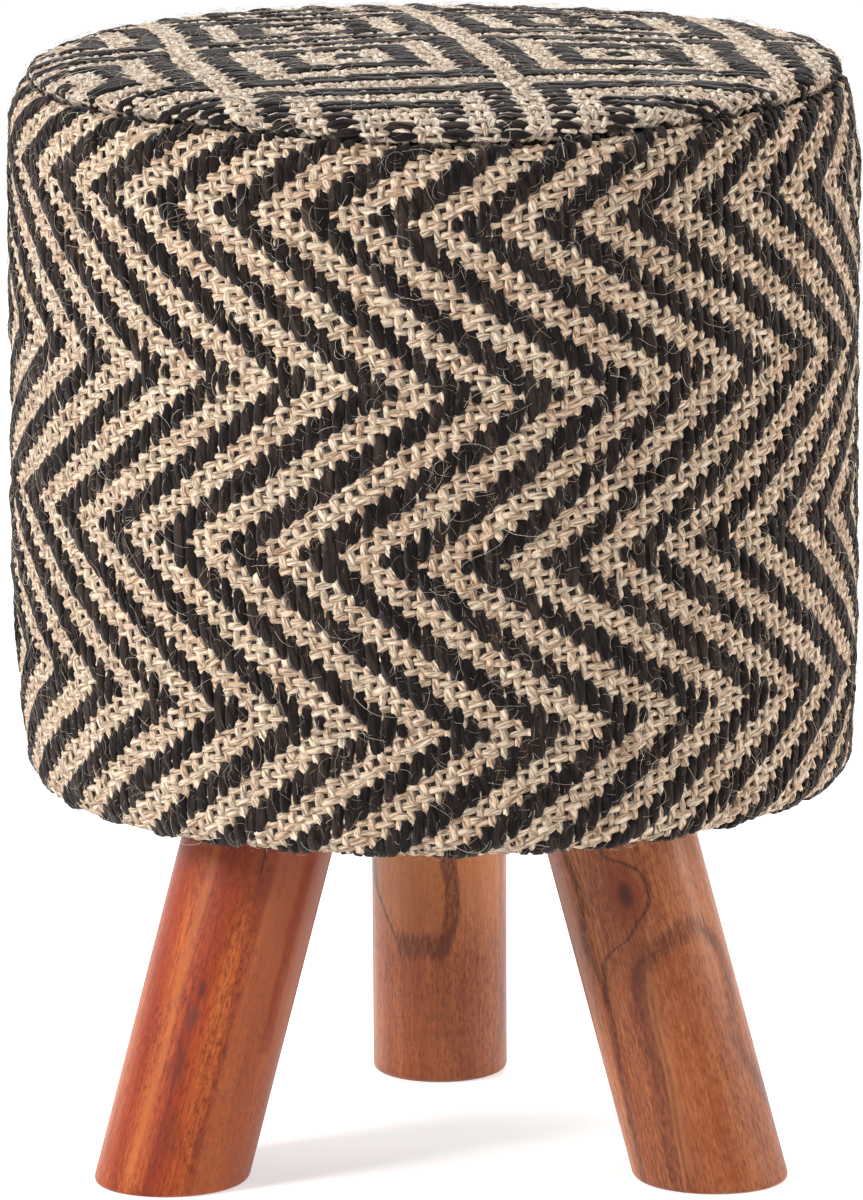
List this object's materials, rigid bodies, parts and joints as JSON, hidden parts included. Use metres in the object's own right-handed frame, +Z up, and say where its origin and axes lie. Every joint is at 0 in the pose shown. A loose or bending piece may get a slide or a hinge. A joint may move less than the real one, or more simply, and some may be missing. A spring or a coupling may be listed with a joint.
{
  "type": "pouf stool",
  "caption": "Round padded drum stool under a woven zigzag cover, standing on splayed round wooden legs bolted under its base board.",
  "frame": {"origin": "on the floor, under the middle of the drum", "axes": "+Z up through the seat; -Y towards the front, between the two front legs; +X to the right seen from the front"},
  "size_m": [0.3499, 0.35, 0.465],
  "materials": {
    "leg_wood_red": "satin varnish over reddish branch wood",
    "leg_wood_brown": "satin varnish over figured brown branch wood",
    "woven_jute_wool": "coarse woven natural jute with black wool floats",
    "nonwoven_black": "black spun-bonded non-woven",
    "plywood": "bare plywood",
    "hardboard": "bare hardboard",
    "batten_pine": "planed softwood",
    "foam": "upholstery foam",
    "wadding": "white fibre wadding",
    "zinc_steel": "zinc plated",
    "staple_steel": "galvanised wire"
  },
  "bodies": {
    "root": {"leg_left": "leg_wood_red", "leg_right": "leg_wood_brown", "leg_rear": "leg_wood_brown", "hanger_bolts": "zinc_steel", "tee_nuts": "zinc_steel", "post_staples_base": "staple_steel", "post_staples_top": "staple_steel", "cover_staples": "staple_steel", "dust_cover_staples": "staple_steel", "wall_staples": "staple_steel", "base_board": "plywood", "top_board": "plywood", "drum_wall": "hardboard", "seat_foam": "foam", "side_foam_wrap": "foam", "seat_wadding": "wadding", "top_cover_panel": "woven_jute_wool", "side_cover_band": "woven_jute_wool", "dust_cover": "nonwoven_black", "frame_post_1": "batten_pine", "frame_post_2": "batten_pine", "frame_post_3": "batten_pine", "frame_post_4": "batten_pine"}
  },
  "joints": []
}
